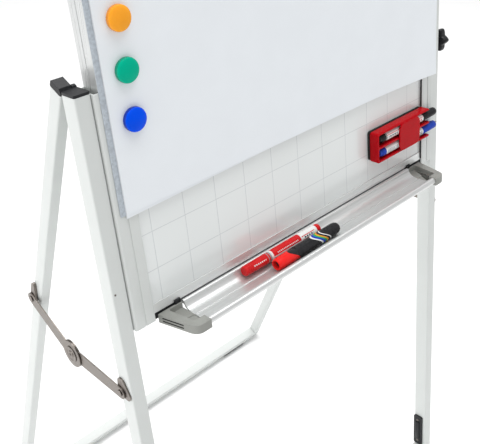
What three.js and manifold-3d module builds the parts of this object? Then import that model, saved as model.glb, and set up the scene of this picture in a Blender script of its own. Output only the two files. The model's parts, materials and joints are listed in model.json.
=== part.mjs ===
// Folding flipchart easel: an A-frame of steel tube, a height-adjustable board in two guide
// channels, a hinged pad clamp, a pen tray, folding side stays and the small things kept on it.
// Units are millimetres, +Z is up, the front faces -Y and +X is to the right.
// Two planes carry everything. The front plane holds the front legs, the channels and the board:
// y is measured back from the front faces of the legs, z from the hinge axis. The rear plane
// holds the rear frame: y is measured back from the hinge axis, z along the rear legs.

import * as THREE from 'three';
import Module from 'manifold-3d';

const wasm = await Module();
wasm.setup();

// ---------------------------------------------------------------- driving dimensions
const hingeHeight = 984;
const frontLean = THREE.MathUtils.degToRad(7.2);
const openingAngle = THREE.MathUtils.degToRad(27.5);
const rearLean = openingAngle - frontLean;

const gap = 0.3;                 // air left between neighbouring pieces
const halfWidth = 326;           // centre line to the outer face of the legs
const wall = 1.5;                // tube wall

const legWidth = 20;
const legDepth = 25;
const hingeBack = 29;            // hinge axis behind the front faces of the legs
const legTop = -2;
const legBottom = -984;

const rearWidth = 15;
const rearDepth = 20;
const rearFront = -3.5;          // front faces of the rear legs, from the hinge axis
const rearTop = -3.6;
const rearBottom = -1042;

const channelTop = -3;
const channelBottom = -302;
const channelInner = 276;
const channelWeb = 303.5;
const channelOuter = halfWidth - legWidth - 0.5;

const boardHalf = 298;
const boardBottom = -293;
const boardTop = 707;
const panelThickness = 10;
const skin = 0.6;                // steel sheets on the two faces of the board
const lipWidth = 13;

const pivotFront = { y: 20, z: -392 };
const pivotRear = { y: 9.5, z: -383 };
const hub = { y: 128, z: -386 };

const knobZ = -108;
const knobY = 12.5;

const paint = {
  whiteSteel: { color: 0xe6e8e4, roughness: 0.42, metalness: 0.1 },
  aluminium: { color: 0xb9bcbd, roughness: 0.35, metalness: 0.9 },
  greyPlastic: { color: 0x85877f, roughness: 0.5, metalness: 0 },
  blackPlastic: { color: 0x141518, roughness: 0.45, metalness: 0 },
  rubber: { color: 0x1b1b1b, roughness: 0.85, metalness: 0 },
  nickel: { color: 0xaaa69c, roughness: 0.3, metalness: 1 },
  enamel: { color: 0xe9edef, roughness: 0.12, metalness: 0 },
  paper: { color: 0xeef1f5, roughness: 0.85, metalness: 0 },
  orange: { color: 0xf2a33c, roughness: 0.2, metalness: 0 },
  green: { color: 0x08b68e, roughness: 0.2, metalness: 0 },
  blue: { color: 0x1452d8, roughness: 0.2, metalness: 0 },
  red: { color: 0xb80d16, roughness: 0.35, metalness: 0 },
  penWhite: { color: 0xf0f0ee, roughness: 0.3, metalness: 0 },
  cardboard: { color: 0xb59a74, roughness: 0.9, metalness: 0 },
};

// ---------------------------------------------------------------- groups and meshes
const easel = new THREE.Group();

function plane(angle, yShift) {
  const turned = new THREE.Group();
  turned.position.z = hingeHeight;
  turned.rotation.x = angle;
  const shifted = new THREE.Group();
  shifted.position.y = yShift;
  turned.add(shifted);
  easel.add(turned);
  return shifted;
}

const frontPlane = plane(-frontLean, -hingeBack);
const rearPlane = plane(rearLean, 0);

function add(group, name, geometry, look) {
  const mesh = new THREE.Mesh(geometry, new THREE.MeshStandardMaterial(paint[look]));
  mesh.name = name;
  group.add(mesh);
  return mesh;
}

const sides = [{ name: 'left', s: -1 }, { name: 'right', s: 1 }];

// lowest and highest x of a stretch given as distances from the centre line
function span(s, inner, outer) {
  return s > 0 ? [inner, outer] : [-outer, -inner];
}

// ---------------------------------------------------------------- outlines
function polygon(points) {
  return new THREE.Shape(points.map(([a, b]) => new THREE.Vector2(a, b)));
}

function roundedRect(x0, y0, x1, y1, r, Kind = THREE.Shape) {
  const shape = new Kind();
  shape.moveTo(x0 + r, y0);
  shape.lineTo(x1 - r, y0);
  shape.absarc(x1 - r, y0 + r, r, -Math.PI / 2, 0);
  shape.lineTo(x1, y1 - r);
  shape.absarc(x1 - r, y1 - r, r, 0, Math.PI / 2);
  shape.lineTo(x0 + r, y1);
  shape.absarc(x0 + r, y1 - r, r, Math.PI / 2, Math.PI);
  shape.lineTo(x0, y0 + r);
  shape.absarc(x0 + r, y0 + r, r, Math.PI, Math.PI * 1.5);
  return shape;
}

function tubeOutline(x0, y0, x1, y1) {
  const shape = roundedRect(x0, y0, x1, y1, 2.2);
  shape.holes.push(roundedRect(x0 + wall, y0 + wall, x1 - wall, y1 - wall, 1, THREE.Path));
  return shape;
}

function circleOutline(y, z, r) {
  const shape = new THREE.Shape();
  shape.absarc(y, z, r, 0, Math.PI * 2);
  return shape;
}

// ---------------------------------------------------------------- prisms along each axis
function extrude(shape, length, round, curveSegments) {
  const bevel = round > 0;
  const options = {
    depth: length - 2 * round,
    curveSegments,
    bevelEnabled: bevel,
    bevelThickness: round,
    bevelSize: round,
    bevelOffset: -round,
    bevelSegments: 2,
  };
  const geometry = new THREE.ExtrudeGeometry(shape, options);
  return bevel ? geometry.translate(0, 0, round) : geometry;
}

const axisX = new THREE.Vector3(1, 0, 0);
const axisY = new THREE.Vector3(0, 1, 0);
const axisZ = new THREE.Vector3(0, 0, 1);
const alongX = new THREE.Matrix4().makeBasis(axisY, axisZ, axisX);
const alongY = new THREE.Matrix4().makeBasis(axisX, axisZ, axisY.clone().negate());

// outline in x and y, from z0 up to z1
function prismZ(shape, z0, z1, round = 0, curveSegments = 4) {
  return extrude(shape, z1 - z0, round, curveSegments).translate(0, 0, z0);
}

// outline in y and z, from x0 to x1
function prismX(shape, x0, x1, round = 0, curveSegments = 4) {
  return extrude(shape, x1 - x0, round, curveSegments).applyMatrix4(alongX).translate(x0, 0, 0);
}

// outline in x and z, from y0 back to y1
function prismY(shape, y0, y1, round = 0, curveSegments = 4) {
  return extrude(shape, y1 - y0, round, curveSegments).applyMatrix4(alongY).translate(0, y1, 0);
}

function box(x0, x1, y0, y1, z0, z1) {
  const geometry = new THREE.BoxGeometry(x1 - x0, y1 - y0, z1 - z0);
  return geometry.translate((x0 + x1) / 2, (y0 + y1) / 2, (z0 + z1) / 2);
}

function rodX(y, z, r, x0, x1, segments = 16) {
  return prismX(circleOutline(y, z, r), x0, x1, 0, segments);
}

// ---------------------------------------------------------------- solid joins and cuts
function welded(geometry) {
  const seen = new Map();
  const vertices = [];
  const triangles = [];
  const position = geometry.getAttribute('position');
  const index = geometry.getIndex();
  const corners = index ? index.count : position.count;
  for (let k = 0; k < corners; k += 1) {
    const i = index ? index.getX(k) : k;
    const point = [position.getX(i), position.getY(i), position.getZ(i)];
    const key = point.map((value) => Math.round(value * 1e4)).join();
    if (!seen.has(key)) {
      seen.set(key, vertices.length / 3);
      vertices.push(...point);
    }
    triangles.push(seen.get(key));
  }
  return { vertices, triangles };
}

function solid(geometry) {
  const { vertices, triangles } = welded(geometry);
  const mesh = new wasm.Mesh({
    numProp: 3,
    vertProperties: new Float32Array(vertices),
    triVerts: new Uint32Array(triangles),
  });
  return new wasm.Manifold(mesh);
}

function fromSolid(manifold) {
  const mesh = manifold.getMesh();
  const geometry = new THREE.BufferGeometry();
  geometry.setAttribute('position', new THREE.BufferAttribute(mesh.vertProperties, 3));
  geometry.setIndex(new THREE.BufferAttribute(mesh.triVerts, 1));
  geometry.computeVertexNormals();
  return geometry;
}

function join(geometries) {
  return fromSolid(wasm.Manifold.union(geometries.map(solid)));
}

function cut(geometry, cutters) {
  return fromSolid(solid(geometry).subtract(wasm.Manifold.union(cutters.map(solid))));
}

// keeps the part of a geometry on the side of a plane that its normal points to
function trim(geometry, normal, offset) {
  return fromSolid(solid(geometry).trimByPlane(normal, offset));
}

function hullOf(geometries) {
  return fromSolid(wasm.Manifold.hull(geometries.map(solid)));
}

// ---------------------------------------------------------------- front frame
function floorUnderFront(y) {
  return (-hingeHeight + (y - hingeBack) * Math.sin(frontLean)) / Math.cos(frontLean);
}

function floorUnderRear(y) {
  return (-hingeHeight - y * Math.sin(rearLean)) / Math.cos(rearLean);
}

const studRadius = 3;
const studHole = rodX(knobY, knobZ, studRadius + gap, 290, 340);

function frontLeg(side) {
  const [x0, x1] = span(side.s, halfWidth - legWidth, halfWidth);
  const tube = prismZ(tubeOutline(x0, 0, x1, legDepth), legBottom, legTop);
  add(frontPlane, `front_leg_${side.name}`, side.s > 0 ? cut(tube, [studHole]) : tube, 'whiteSteel');
}

function frontCrossbar() {
  const top = legBottom + 30;
  const reach = halfWidth - legWidth - gap;
  const outline = tubeOutline(0, top - legWidth, legDepth, top);
  add(frontPlane, 'front_crossbar', prismX(outline, -reach, reach), 'whiteSteel');
}

function footCap(side) {
  const flange = 1.2;
  const plugHeight = 18;
  const [x0, x1] = span(side.s, halfWidth - legWidth - flange, halfWidth + flange);
  const front = -flange;
  const back = legDepth;         // flush, so the folded rear legs pass behind it
  const top = legBottom - gap;
  const sole = polygon([
    [front, top],
    [back, top],
    [back, floorUnderFront(back)],
    [front, floorUnderFront(front)],
  ]);
  const [p0, p1] = span(side.s, halfWidth - legWidth + wall + gap, halfWidth - wall - gap);
  const plug = box(p0, p1, wall + gap, legDepth - wall - gap, top - 1, top + plugHeight);
  add(frontPlane, `front_foot_${side.name}`, join([prismX(sole, x0, x1), plug]), 'blackPlastic');
}

function channelProfile(s) {
  const front = -4;
  const flange = 2.2;
  const back = 30;
  const backFlange = 1.8;
  const grooveInner = 289.5;
  const grooveOuter = 291.5;
  const grooveDepth = 0.9;
  const corner = 2.5;
  const backReach = 284;
  const points = [
    [channelInner, front + 0.8],
    [channelInner + 0.8, front],
    [grooveInner, front],
    [grooveInner, front + grooveDepth],
    [grooveOuter, front + grooveDepth],
    [grooveOuter, front],
  ];
  for (let k = 0; k <= 4; k += 1) {
    const a = (Math.PI / 2) * (k / 4);
    const x = channelOuter - corner + corner * Math.sin(a);
    points.push([x, front + corner - corner * Math.cos(a)]);
  }
  points.push([channelOuter, back]);
  points.push([backReach, back]);
  points.push([backReach, back - backFlange]);
  points.push([channelWeb, back - backFlange]);
  points.push([channelWeb, front + flange]);
  points.push([channelInner, front + flange]);
  return polygon(points.map(([x, y]) => [s * x, y]));
}

function guideChannel(side) {
  const channel = prismZ(channelProfile(side.s), channelBottom, channelTop);
  const shape = side.s > 0 ? cut(channel, [studHole]) : channel;
  add(frontPlane, `guide_channel_${side.name}`, shape, 'whiteSteel');
}

const knuckleWidth = 4.7;
const pinRadius = 1.5;
const pinBore = pinRadius + 0.15;

function frontHingeCap(side) {
  const bottom = legTop + gap;
  const top = 1.2;
  const knuckle = 4;
  const plugLength = 22;
  const [x0, x1] = span(side.s, halfWidth - legWidth, halfWidth);
  const [k0, k1] = span(side.s, halfWidth - legWidth, halfWidth - legWidth + knuckleWidth);
  const [p0, p1] = span(side.s, halfWidth - legWidth + wall + gap, halfWidth - wall - gap);
  const collar = prismZ(roundedRect(x0, 0, x1, legDepth, 2.2), bottom, top);
  const web = box(k0, k1, legDepth - 3, hingeBack, bottom, top);
  const barrel = rodX(hingeBack, 0, knuckle, k0, k1);
  const plug = box(p0, p1, wall + gap, legDepth - wall - gap, bottom - plugLength, bottom + 1);
  const bore = rodX(hingeBack, 0, pinBore, k0 - 1, k1 + 1, 12);
  const cap = cut(join([collar, web, barrel, plug]), [bore]);
  add(frontPlane, `front_hinge_cap_${side.name}`, cap, 'blackPlastic');
}

function hingePin(side) {
  const headInner = halfWidth - legWidth - 1;
  const [h0, h1] = span(side.s, headInner, headInner + 0.8);
  const [x0, x1] = span(side.s, headInner + 0.4, halfWidth - 2.5);
  const head = rodX(hingeBack, 0, 2.6, h0, h1, 10);
  const shank = rodX(hingeBack, 0, pinRadius, x0, x1, 10);
  add(frontPlane, `hinge_pin_${side.name}`, join([head, shank]), 'nickel');
}

// catches on the inner faces of the front legs that hold the folded rear frame
function catchPlate(side) {
  const inner = halfWidth - legWidth - gap;
  const bottom = legBottom + 34;
  const height = 73;
  const margin = 14;
  const [x0, x1] = span(side.s, inner - 3.4, inner);
  const [r0, r1] = span(side.s, inner - 6, inner - 2);
  const plate = prismX(roundedRect(5.5, bottom, 24.5, bottom + height, 4), x0, x1);
  const raised = roundedRect(10.5, bottom + margin, 19.5, bottom + height - margin, 3);
  const rib = prismX(raised, r0, r1, 1);
  add(frontPlane, `catch_plate_${side.name}`, join([plate, rib]), 'blackPlastic');
}

// ---------------------------------------------------------------- rear frame
function rearLeg(side) {
  const [x0, x1] = span(side.s, halfWidth - rearWidth, halfWidth);
  const tube = prismZ(tubeOutline(x0, rearFront, x1, rearFront + rearDepth), rearBottom, rearTop);
  // mitre at the lower corner: the plane through the inner and outer corner edges
  const offset = (halfWidth + rearBottom) / Math.SQRT2 + gap / 2;
  add(rearPlane, `rear_leg_${side.name}`, trim(tube, [side.s, 0, 1], offset), 'whiteSteel');
}

function rearCrossbar() {
  const outline = tubeOutline(rearFront, rearBottom, rearFront + rearDepth, rearBottom + rearWidth);
  let bar = prismX(outline, -halfWidth, halfWidth);
  for (const { s } of sides) {
    bar = trim(bar, [-s, 0, -1], -(halfWidth + rearBottom) / Math.SQRT2 + gap / 2);
  }
  add(rearPlane, 'rear_crossbar', bar, 'whiteSteel');
}

function rearHingeCap(side) {
  const bottom = rearTop + gap;
  const top = 4.2;
  const plugLength = 20;
  const back = rearFront + rearDepth;
  const [x0, x1] = span(side.s, halfWidth - rearWidth, halfWidth);
  const outline = [[rearFront, bottom], [back, bottom], [back, top - 0.8], [back - 0.8, top],
    [0.6, top], [rearFront, 1]];
  const collar = prismX(polygon(outline), x0, x1);
  const [p0, p1] = span(side.s, halfWidth - rearWidth + wall + gap, halfWidth - wall - gap);
  const plug = box(p0, p1, rearFront + wall + gap, back - wall - gap, bottom - plugLength, bottom + 1);
  const [b0, b1] = span(side.s, halfWidth - rearWidth - 1, halfWidth - 2);
  const bore = rodX(0, 0, pinBore, b0, b1, 12);
  add(rearPlane, `rear_hinge_cap_${side.name}`, cut(join([collar, plug]), [bore]), 'blackPlastic');
}

function rearFoot(side) {
  const front = rearFront + 1;
  const back = rearFront + rearDepth - 1;
  const top = rearBottom - gap;
  const [x0, x1] = span(side.s, 214, 278);
  const wedge = polygon([
    [front, top],
    [back, top],
    [back, floorUnderRear(back)],
    [front, floorUnderRear(front)],
  ]);
  add(rearPlane, `rear_foot_${side.name}`, prismX(wedge, x0, x1), 'rubber');
}

// ---------------------------------------------------------------- folding stays
// The stay pieces lie in layers outside the legs, given as distances from the outer face.
const plateLayer = [0.3, 2.3];
const frontArmLayer = [2.6, 4.4];
const rearArmLayer = [4.8, 6.6];
const armWidth = 18;             // at its pivot; it widens towards the hub
const armWidthAtHub = 22;
const hubRadius = 20;
const rivetRadius = 2.5;
const headRadius = 4.5;
const headHeight = 1.5;
const hubRivetRadius = 12;

function layer(side, [near, far]) {
  return span(side.s, halfWidth + near, halfWidth + far);
}

function disc(side, pair, point, r, segments = 12) {
  return rodX(point.y, point.z, r, ...layer(side, pair), segments);
}

// the front rivet is part of its plate, the rear one part of its bracket
function stayPlate(side) {
  const [, top] = plateLayer;
  const lobes = [
    disc(side, plateLayer, pivotFront, 7),
    disc(side, plateLayer, { y: 17, z: -377 }, 8),
    disc(side, plateLayer, { y: 8.5, z: -392 }, 7.5),
  ];
  const stub = disc(side, [top - 1, frontArmLayer[1] + 0.5], pivotFront, rivetRadius);
  const head = disc(side, [frontArmLayer[1] + gap, frontArmLayer[1] + headHeight], pivotFront, headRadius);
  add(frontPlane, `stay_plate_${side.name}`, join([hullOf(lobes), stub, head]), 'nickel');
}

function stayBracket(side) {
  const body = [plateLayer[0], rearArmLayer[0] - gap];
  const lobes = [disc(side, body, pivotRear, 6.5), disc(side, body, { y: 13, z: -357 }, 3.4)];
  const stub = disc(side, [body[1] - 1, rearArmLayer[1] + 0.5], pivotRear, rivetRadius);
  const head = disc(side, [rearArmLayer[1] + gap, rearArmLayer[1] + headHeight], pivotRear, headRadius);
  add(rearPlane, `stay_bracket_${side.name}`, join([hullOf(lobes), stub, head]), 'nickel');
}

// the hub as the rear plane sees it
function hubFromRear() {
  const y = hub.y - hingeBack;
  const cos = Math.cos(openingAngle);
  const sin = Math.sin(openingAngle);
  return { y: y * cos + hub.z * sin, z: hub.z * cos - y * sin };
}

function arm(side, pair, pivot, end) {
  const ends = [disc(side, pair, pivot, armWidth / 2), disc(side, pair, end, armWidthAtHub / 2)];
  const strip = hullOf(ends);
  const eye = disc(side, pair, end, hubRadius, 20);
  const hole = disc(side, [pair[0] - 1, pair[1] + 1], pivot, rivetRadius + gap);
  return cut(join([strip, eye]), [hole]);
}

function stayArms(side) {
  const frontArm = arm(side, frontArmLayer, pivotFront, hub);
  add(frontPlane, `stay_front_arm_${side.name}`, frontArm, 'nickel');
  const end = hubFromRear();
  const rearArm = arm(side, rearArmLayer, pivotRear, end);
  add(rearPlane, `stay_rear_arm_${side.name}`, rearArm, 'nickel');
  const over = [rearArmLayer[1] + gap, rearArmLayer[1] + gap + headHeight];
  const rivet = disc(side, over, end, hubRivetRadius, 16);
  add(rearPlane, `stay_hub_rivet_${side.name}`, rivet, 'nickel');
}

// ---------------------------------------------------------------- board
// Frame profile: a is the distance in from the outer edge, y the depth.
const profilePoints = [
  [0, -1.5], [lipWidth, -1.5], [lipWidth, -gap], [2.2, -gap],
  [2.2, panelThickness + gap], [12, panelThickness + gap], [12, 11.8], [2.2, 11.8],
  [2.2, 24], [8, 24], [8, 25.5], [0, 25.5],
  [0, 19.4], [0.5, 19], [0.5, 18.4], [0, 18],
  [0, 12.8], [0.9, 12.8], [0.9, 11.2], [0, 11.2],
];

function frameProfile(name, axis, sign) {
  const outer = axis === 'x' ? boardHalf : (sign > 0 ? boardTop : -boardBottom);
  const placed = profilePoints.map(([a, y]) => [sign * (outer - a), y]);
  const halfHeight = (boardTop - boardBottom) / 2;
  const middle = (boardTop + boardBottom) / 2;
  let bar;
  if (axis === 'x') {
    bar = prismZ(polygon(placed), boardBottom, boardTop);
  } else {
    bar = prismX(polygon(placed.map(([z, y]) => [y, z])), -boardHalf, boardHalf);
  }
  // mitred ends: each bar keeps the side of the corner planes that faces its own edge
  const inset = gap / 2;
  for (const end of [-1, 1]) {
    const along = axis === 'x' ? [sign, 0, -end] : [-end, 0, sign];
    const corner = axis === 'x' ? [sign * boardHalf, end] : [end * boardHalf, sign];
    const cornerZ = middle + corner[1] * halfHeight;
    const offset = (along[0] * corner[0] + along[2] * cornerZ) / Math.SQRT2;
    bar = trim(bar, along, offset + inset);
  }
  add(frontPlane, name, bar, 'aluminium');
}

function board() {
  const inset = 2.2 + gap;
  const half = boardHalf - inset;
  const low = boardBottom + inset;
  const high = boardTop - inset;
  add(frontPlane, 'writing_sheet', box(-half, half, 0, skin, low, high), 'enamel');
  const core = box(-half, half, skin + gap, panelThickness - skin - gap, low, high);
  add(frontPlane, 'board_core', core, 'cardboard');
  const back = box(-half, half, panelThickness - skin, panelThickness, low, high);
  add(frontPlane, 'back_sheet', back, 'whiteSteel');
  frameProfile('board_frame_left', 'x', -1);
  frameProfile('board_frame_right', 'x', 1);
  frameProfile('board_frame_top', 'z', 1);
  frameProfile('board_frame_bottom', 'z', -1);
}

// ---------------------------------------------------------------- pen tray
const trayHalf = 234.5;
const trayFloor = -305;
const trayTop = boardBottom - 3;

function trayProfile() {
  const bead = { y: -54, z: trayTop - 5.5, r: 5 };
  const shape = new THREE.Shape();
  shape.moveTo(22, trayTop);
  shape.lineTo(-2, trayTop);
  shape.absarc(-5.5, trayTop - 0.5, 3.5, Math.PI * 0.05, Math.PI, false);
  shape.quadraticCurveTo(-13, trayFloor, -26, trayFloor);
  shape.lineTo(-28, trayFloor);
  shape.lineTo(-28.7, trayFloor + 1);
  shape.lineTo(-29.4, trayFloor);
  shape.lineTo(-44, trayFloor + 0.4);
  shape.quadraticCurveTo(-48, trayFloor + 1, bead.y + bead.r, bead.z);
  shape.absarc(bead.y, bead.z, bead.r, 0, Math.PI * 1.45, false);
  shape.lineTo(-44, trayFloor - 1.6);
  shape.lineTo(-24, trayFloor - 1.8);
  shape.quadraticCurveTo(-9, trayFloor - 1.2, -7.5, trayTop - 3);
  shape.lineTo(-2, trayTop - 2);
  shape.lineTo(22, trayTop - 2);
  return shape;
}

function penTray() {
  add(frontPlane, 'pen_tray', prismX(trayProfile(), -trayHalf, trayHalf, 0, 5), 'aluminium');
}

// the outer face of a cap slants in from its back corner to its front one
const capBack = { x: 271.5, y: -1.8 };
const capFront = { x: 260.5, y: -48 };

function capPlan(s) {
  const inner = trayHalf + gap;
  const nose = -60.5;
  const shape = new THREE.Shape();
  shape.moveTo(s * inner, capBack.y);
  shape.lineTo(s * capBack.x, capBack.y);
  shape.lineTo(s * capFront.x, capFront.y);
  shape.bezierCurveTo(s * (capFront.x - 2), -56, s * (capFront.x - 5.5), nose, s * 246, nose);
  shape.lineTo(s * inner, nose);
  return shape;
}

function trayCap(side) {
  const { s, name } = side;
  const top = trayTop;
  const bottom = top - 12.5;
  const block = prismZ(capPlan(s), bottom, top, 1.2, 5);
  const [p0, p1] = span(s, trayHalf - 2, 251.5);
  const pocket = prismZ(roundedRect(p0, -47.5, p1, -11.5, 1.5), top - 9, top + 2);
  const [n0, n1] = span(s, trayHalf - 2, 247);
  const notch = box(n0, n1, -9, -4, top - 3, top + 2);
  const cutters = [pocket, notch];
  // two long slots in the slanting outer face
  const slant = Math.atan2(capBack.x - capFront.x, capBack.y - capFront.y);
  for (const z of [top - 4.2, top - 8.4]) {
    const slot = new THREE.BoxGeometry(4, 33, 1.8);
    slot.rotateZ(-s * slant);
    slot.translate(s * (capBack.x - 5), -24, z);
    cutters.push(slot);
  }
  add(frontPlane, `tray_cap_${name}`, cut(block, cutters), 'greyPlastic');
}

// the clip lies between the board and the tray and hooks over the frame's front lip
function trayClip(side) {
  const [x0, x1] = span(side.s, 236, 245);
  const front = -3.8;
  const lip = -1.9;
  const back = 14;
  const bottom = trayTop + gap;
  const top = boardBottom - gap;
  const clip = polygon([
    [front, boardBottom + 3],
    [lip, boardBottom + 3.6],
    [lip, top],
    [back, top],
    [back, bottom],
    [front, bottom],
  ]);
  add(frontPlane, `tray_clip_${side.name}`, prismX(clip, x0, x1), 'blackPlastic');
}

// ---------------------------------------------------------------- pad and its clamp
const clampAxis = { y: -12, z: boardTop + 1.3 };
const padTop = 703;
const padBottom = -150;
const padHalf = 292.5;
const padBack = -4.4;
const padThickness = 2.8;
const hookX = 212;
const hookZ = 697.5;

const pegRadius = 3;
const liftStart = 120;           // the pad lies flat to the left of this x
const liftMost = 10;

// how far the pad stands off the board towards its free lower right corner
function sheetLift(x, z) {
  const across = THREE.MathUtils.clamp((x - liftStart) / (padHalf - liftStart), 0, 1);
  const down = THREE.MathUtils.clamp((padTop - z) / (padTop - padBottom), 0, 1);
  return liftMost * Math.pow(across, 1.6) * Math.min(1, down * 1.6);
}

function paperPad() {
  const height = padTop - padBottom;
  const pad = new THREE.BoxGeometry(2 * padHalf, padThickness, height, 16, 1, 8);
  pad.translate(0, padBack - padThickness / 2, padBottom + height / 2);
  const position = pad.getAttribute('position');
  for (let i = 0; i < position.count; i += 1) {
    const lift = sheetLift(position.getX(i), position.getZ(i));
    position.setY(i, position.getY(i) - lift);
  }
  const hole = pegRadius + 1.2;
  const holes = sides.map(({ s }) => prismY(circleOutline(s * hookX, hookZ, hole), -30, 0, 0, 10));
  add(frontPlane, 'paper_pad', cut(pad, holes), 'paper');
}

function padHook(side) {
  const x = side.s * hookX;
  const base = prismY(circleOutline(x, hookZ, pegRadius + 1), -3.9, -1.8, 0, 10);
  const peg = prismY(circleOutline(x, hookZ, pegRadius), -10.2, -3, 0, 10);
  add(frontPlane, `pad_hook_${side.name}`, join([base, peg]), 'blackPlastic');
}

const railHalf = 286;
const barHalf = 268;
const barrelRadius = 3.2;
const clampPin = 1.35;
const clampBore = 1.6;

function clampRail() {
  const { y, z } = clampAxis;
  const leaf = box(-railHalf, railHalf, y, 22, boardTop + gap, boardTop + 2.3);
  const barrels = sides.map(({ s }) => {
    const [x0, x1] = span(s, barHalf + gap, railHalf);
    return rodX(y, z, barrelRadius, x0, x1, 12);
  });
  const free = barHalf + gap;
  const slot = box(-free, free, y - 5, y + 3.8, boardTop - 4, boardTop + 6);
  const bores = sides.map(({ s }) => {
    const [x0, x1] = span(s, barHalf - 1, railHalf - 2);
    return rodX(y, z, clampBore, x0, x1, 10);
  });
  add(frontPlane, 'pad_clamp_rail', cut(join([leaf, ...barrels]), [slot, ...bores]), 'aluminium');
}

function clampBar() {
  const { y, z } = clampAxis;
  const front = y - 1.2;
  const back = y + 1.2;
  const foot = z - 36;
  const toe = padBack - padThickness - gap - 1;
  const leaf = polygon([
    [front, z],
    [back, z],
    [back, foot + 3],
    [toe, foot + 3],
    [toe, foot],
    [front, foot],
  ]);
  const pieces = [
    prismX(leaf, -barHalf, barHalf),
    rodX(y, z, barrelRadius, -barHalf, barHalf, 12),
    rodX(y, z, clampPin, -railHalf + 3, railHalf - 3, 10),
  ];
  add(frontPlane, 'pad_clamp_bar', join(pieces), 'aluminium');
}

// ---------------------------------------------------------------- height clamp on the right leg
const knobFace = halfWidth + 2.5;

function clampKnob() {
  const lobes = 6;
  const mean = 17.5;
  const swing = 2.5;
  const points = [];
  for (let k = 0; k < 48; k += 1) {
    const a = (k / 48) * Math.PI * 2;
    const r = mean + swing * Math.cos(lobes * a);
    points.push([knobY + r * Math.cos(a), knobZ + r * Math.sin(a)]);
  }
  const star = prismX(polygon(points), knobFace + 4, knobFace + 17, 2);
  const boss = rodX(knobY, knobZ, 9, knobFace, knobFace + 6);
  const socket = rodX(knobY, knobZ, studRadius + gap, knobFace - 1, knobFace + 12);
  add(frontPlane, 'clamp_knob', cut(join([star, boss]), [socket]), 'blackPlastic');
}

function clampStud() {
  const stud = rodX(knobY, knobZ, studRadius, boardHalf + 0.5, knobFace + 11.5);
  add(frontPlane, 'clamp_stud', stud, 'nickel');
}

// ---------------------------------------------------------------- things kept on the easel
const magnetX = -264;
const magnetHigh = 68.5;
const magnetPitch = 55;

function magnet(name, z, look) {
  const brim = 14;
  const rim = brim - 0.8;
  const profile = [
    [0, 0],
    [rim, 0],
    [brim, 1],
    [brim, 4.5],
    [rim, 6.6],
    [11, 8],
    [6.5, 8.9],
    [0, 9.3],
  ];
  const lathe = new THREE.LatheGeometry(profile.map(([r, h]) => new THREE.Vector2(r, h)), 22);
  lathe.rotateX(Math.PI);
  lathe.translate(magnetX, padBack - padThickness - gap, z);
  add(frontPlane, `magnet_${name}`, lathe, look);
}

const holder = { x0: 142, x1: 275, z0: -247, z1: -199, front: -19.5 };

function penHolder() {
  const { x0, x1, z0, z1, front } = holder;
  const foam = roundedRect(x0 - 0.5, z0 + 2, x1 - 3, z1 + 0.5, 3);
  add(frontPlane, 'wiper_pad', prismY(foam, -3.5, -gap), 'rubber');
  const outer = prismY(roundedRect(x0, z0, x1, z1, 3), front, -3.8, 1, 4);
  const middle = (z0 + z1) / 2;
  const floor = -5.2;
  const bays = [
    box(x0 + 8, x1 + 2, front - 2, floor, middle + 1.2, z1 - 3),
    box(x0 + 8, x1 + 2, front - 2, floor, z0 + 3, middle - 1.2),
  ];
  const tab = roundedRect(194, z0 + 1.5, 246, z1 - 1.5, 10);
  const tongue = prismY(tab, front - 2.1, front + 0.2, 0.6, 5);
  add(frontPlane, 'pen_holder', join([cut(outer, bays), tongue]), 'red');
}

const penRadius = 6.7;
const penY = -12.2;

function holderPen(name, z, look) {
  add(frontPlane, name, rodX(penY, z, penRadius, 151.5, 297, 14), look);
}

// the white marker lies against the back of the tray, the black one against its front
function markers() {
  const white = rodX(-18.5, trayFloor + 11.2, 7.8, -142, 4, 16);
  add(frontPlane, 'marker_white', white, 'penWhite');
  const radius = 9;
  const black = rodX(0, 0, radius, -64, 64, 16);
  black.rotateZ(THREE.MathUtils.degToRad(1.4));
  black.translate(-39, -37.4, trayFloor + radius + 0.6);
  add(frontPlane, 'marker_black', black, 'blackPlastic');
}

// ---------------------------------------------------------------- the whole easel
for (const side of sides) {
  frontLeg(side);
  footCap(side);
  guideChannel(side);
  frontHingeCap(side);
  hingePin(side);
  catchPlate(side);
  rearLeg(side);
  rearHingeCap(side);
  rearFoot(side);
  stayPlate(side);
  stayBracket(side);
  stayArms(side);
  trayCap(side);
  trayClip(side);
  padHook(side);
}
frontCrossbar();
rearCrossbar();
board();
penTray();
paperPad();
clampRail();
clampBar();
clampKnob();
clampStud();
magnet('orange', magnetHigh, 'orange');
magnet('green', magnetHigh - magnetPitch, 'green');
magnet('blue', magnetHigh - 2 * magnetPitch, 'blue');
penHolder();
holderPen('holder_pen_black', -212, 'blackPlastic');
holderPen('holder_pen_blue', -234.6, 'blue');
markers();

// the footprint is centred on the origin
easel.updateMatrixWorld(true);
const bounds = new THREE.Box3().setFromObject(easel, true);
easel.position.x = -(bounds.min.x + bounds.max.x) / 2;
easel.position.y = -(bounds.min.y + bounds.max.y) / 2;

export default easel;
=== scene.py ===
import json
import math

import bmesh
import bpy
from mathutils import Matrix, Vector


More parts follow.
